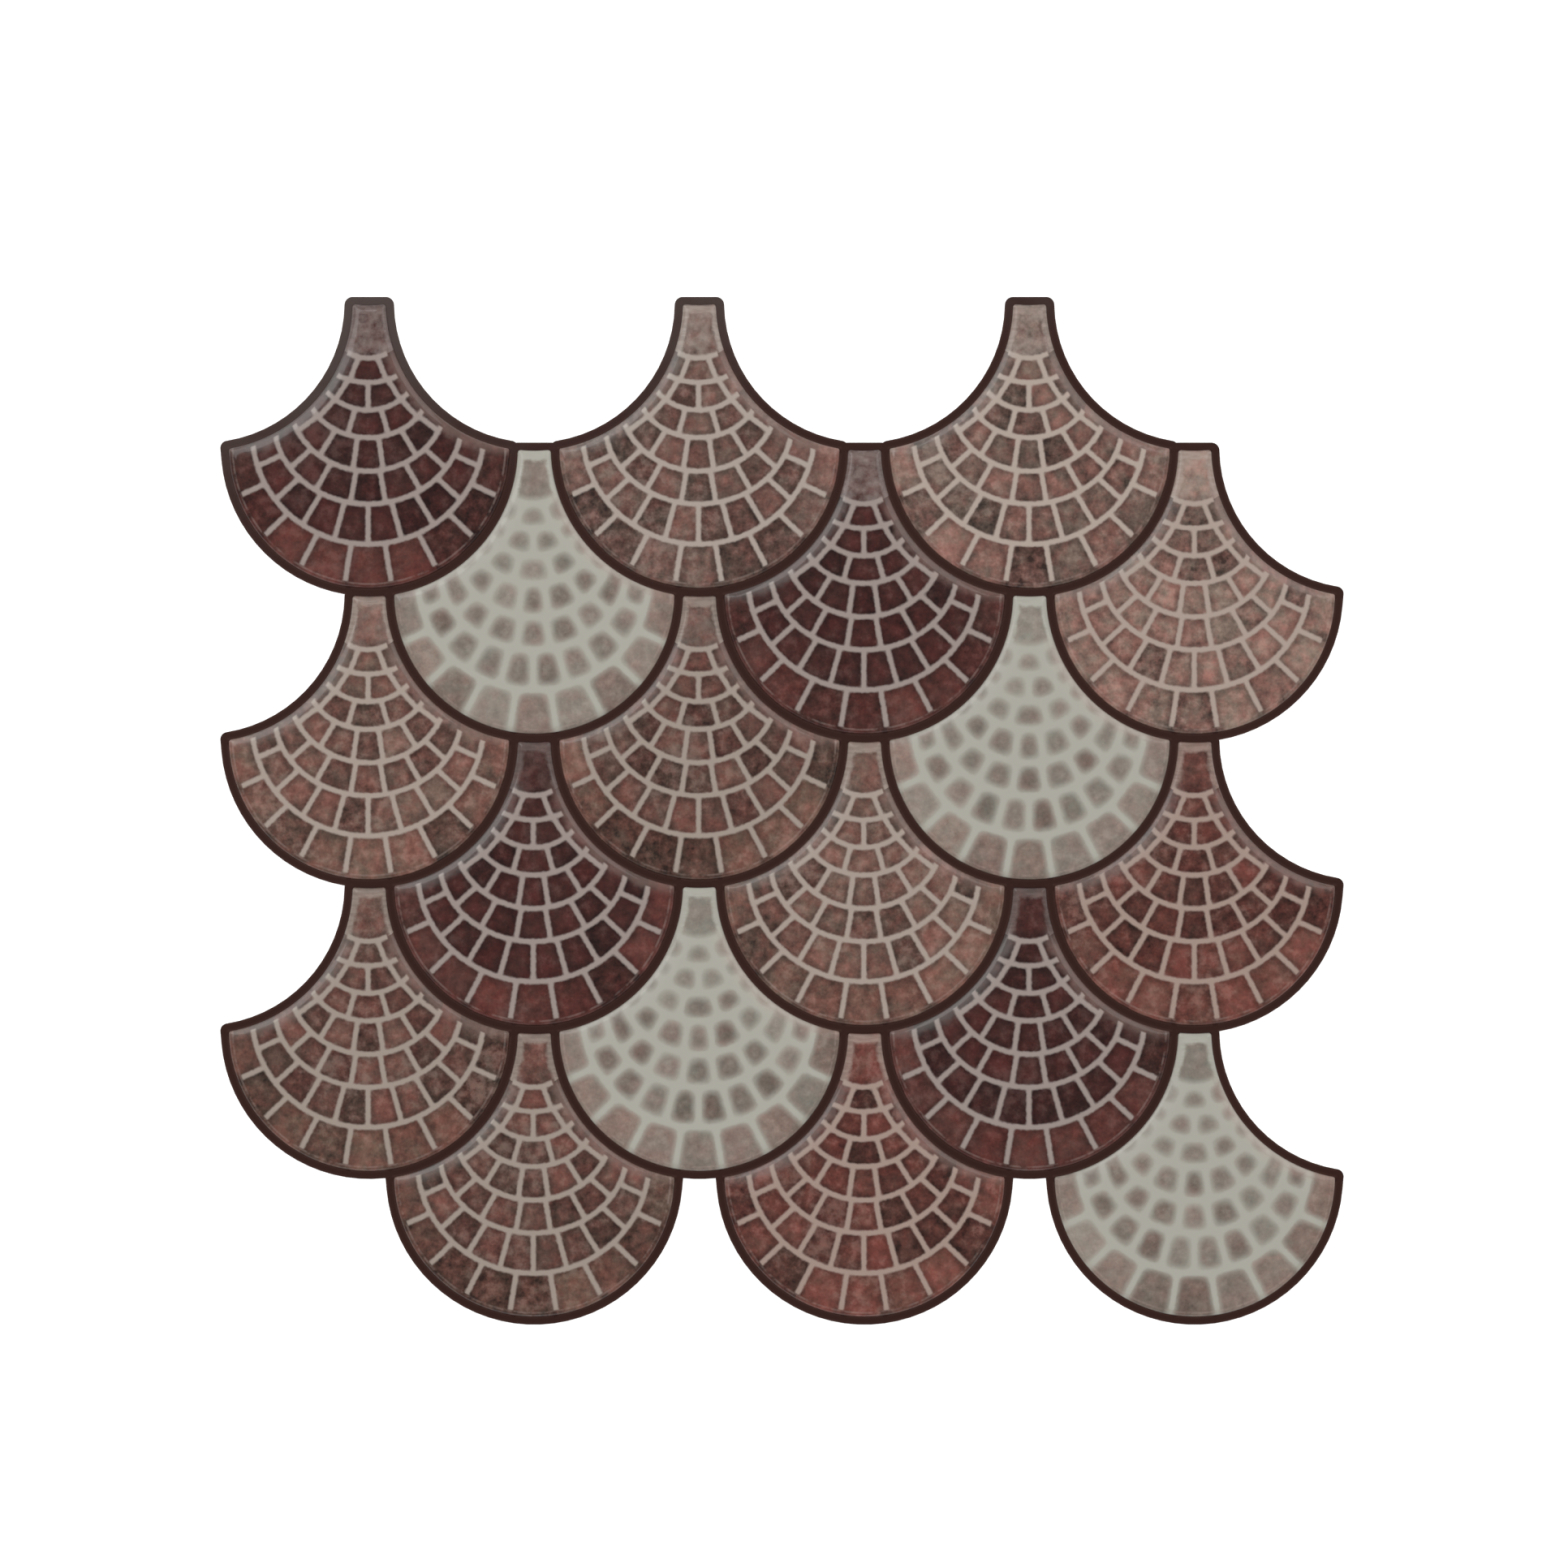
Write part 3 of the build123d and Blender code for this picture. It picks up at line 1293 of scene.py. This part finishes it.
    def _print_map(self, scale: bpy.types.Object) -> None:
        """Lays the print map over the scale, seen from above.

        Args:
            scale: the dome, round the origin.
        """
        side = PRINT_MAP_SIDE_MM * MM
        mesh = scale.data
        while mesh.uv_layers:
            mesh.uv_layers.remove(mesh.uv_layers[0])
        chart = mesh.uv_layers.new(name=PRINT_MAP)
        for loop in mesh.loops:
            place = mesh.vertices[loop.vertex_index].co
            chart.data[loop.index].uv = (place.x / side + 0.5, place.y / side + 0.5)


@dataclass(frozen=True)
class Backing:
    """The printed film and the release liner, both kept as the CAD has them."""

    def build(self) -> None:
        """Gives the two sheets their finishes."""
        for node, finish in (("printed_film", JointPrint()), ("release_liner", ReleasePaper())):
            sheet = frame["nodes"][node]
            sheet.data.materials.clear()
            sheet.data.materials.append(finish.material())
            log.info("%s: dressed", node)


# Studio


@dataclass(frozen=True)
class Lamp:
    """A square soft light that faces the sheet."""

    name: str
    place: tuple[float, float, float]
    side: float
    watts: float
    mirrored: bool = True

    def build(self) -> None:
        """Adds the lamp."""
        data = bpy.data.lights.new(self.name, "AREA")
        data.shape = "SQUARE"
        data.size = self.side
        data.energy = self.watts
        lamp = bpy.data.objects.new(self.name, data)
        bpy.context.scene.collection.objects.link(lamp)
        lamp.location = self.place
        lamp.rotation_mode = "QUATERNION"
        lamp.rotation_quaternion = Vector(self.place).to_track_quat("Z", "Y")
        lamp.visible_glossy = self.mirrored


@dataclass
class Studio:
    """A white floor, soft light from the upper left and a camera that looks straight down."""

    lens: float = 135.0
    sensor: float = 36.0
    frame_side: float = 0.4242
    aim: Point = (0.00055, 0.00725)
    camera_sight: float = 50.0
    floor_side: float = 12.0
    floor_drop_mm: float = 0.05
    floor_grey: float = 0.86
    floor_glow: float = 0.55
    horizon_strength: float = 0.7
    zenith_strength: float = 0.12
    dimming: Span = (0.15, 0.75)
    lamps: tuple[Lamp, ...] = (
        Lamp("key", (-0.85, 0.85, 1.25), 1.1, 5.8),
        Lamp("second", (0.9, 0.75, 1.25), 1.0, 3.0),
        Lamp("fill", (0.0, 0.0, 2.4), 2.2, 37.5, mirrored=False),
    )

    def build(self) -> None:
        """Builds the floor, the lights, the world and the camera."""
        self._floor()
        self._world()
        for lamp in self.lamps:
            lamp.build()
        self._camera()
        bpy.context.scene.view_settings.view_transform = "Standard"

    def _camera(self) -> None:
        """Adds the camera above the sheet, at the distance from which the frame's side fits."""
        scene = bpy.context.scene
        data = bpy.data.cameras.new("camera")
        data.sensor_width = self.sensor
        data.lens = self.lens
        camera = bpy.data.objects.new("camera", data)
        scene.collection.objects.link(camera)
        camera.location = (*self.aim, self.frame_side * self.lens / self.sensor)
        data.clip_end = self.camera_sight
        scene.camera = camera

    def _floor(self) -> None:
        """Adds the floor that the sheet lies on."""
        deselect_all()
        bpy.ops.mesh.primitive_plane_add(size=self.floor_side, location=(0.0, 0.0, -self.floor_drop_mm * MM))
        floor = bpy.context.object
        floor.name = "floor"
        material, bench = new_material("floor")
        path = bench.node("LightPath")
        kinds = ("Camera", "Glossy", "Transmission")
        seen = bench.most(*(bench.out(path, f"Is {kind} Ray") for kind in kinds))
        grey = self.floor_grey
        paper = bench.node("BsdfDiffuse", Color=(grey, grey, grey, 1.0))
        glow = bench.node("Emission", Color=(1.0, 1.0, 1.0, 1.0), Strength=seen * self.floor_glow)
        both = bench.node("AddShader", i0=bench.out(paper), i1=bench.out(glow))

        # The floor is clear from below and stops no light, so that a view of the sheet's back isn't black.
        behind = bench.out(bench.node("NewGeometry"), "Backfacing")
        passing = bench.most(behind, bench.out(path, "Is Diffuse Ray"), bench.out(path, "Is Shadow Ray"))
        clear = bench.node("BsdfTransparent")
        floor_shader = bench.node("MixShader", i0=passing, i1=bench.out(both), i2=bench.out(clear))
        bench.node("OutputMaterial", Surface=bench.out(floor_shader))
        floor.data.materials.append(material)

    def _world(self) -> None:
        """Sets the light from all round: a bright horizon below a dim ceiling, white for the camera."""
        world = bpy.data.worlds.new("studio")
        bpy.context.scene.world = world
        world.use_nodes = True
        bench = Bench(world.node_tree)
        direction = bench.node("SeparateXYZ", Vector=bench.out(bench.node("TexCoord"), "Generated"))
        height = bench.ramp(bench.out(direction, "Z"), *self.dimming)
        around = self.horizon_strength + height * (self.zenith_strength - self.horizon_strength)
        camera = bench.out(bench.node("LightPath"), "Is Camera Ray")
        strength = around + camera * (1.0 - around)
        sky = bench.node("Background", Color=(1.0, 1.0, 1.0, 1.0), Strength=strength)
        bench.node("OutputWorld", Surface=bench.out(sky))


def main() -> None:
    """Builds the pieces and the studio in order."""
    scales = GelScales().build()
    log.info("%d gel scales stand", len(scales))
    Backing().build()
    Studio().build()
    log.info("sizes written")


if __name__ == "__main__":
    main()
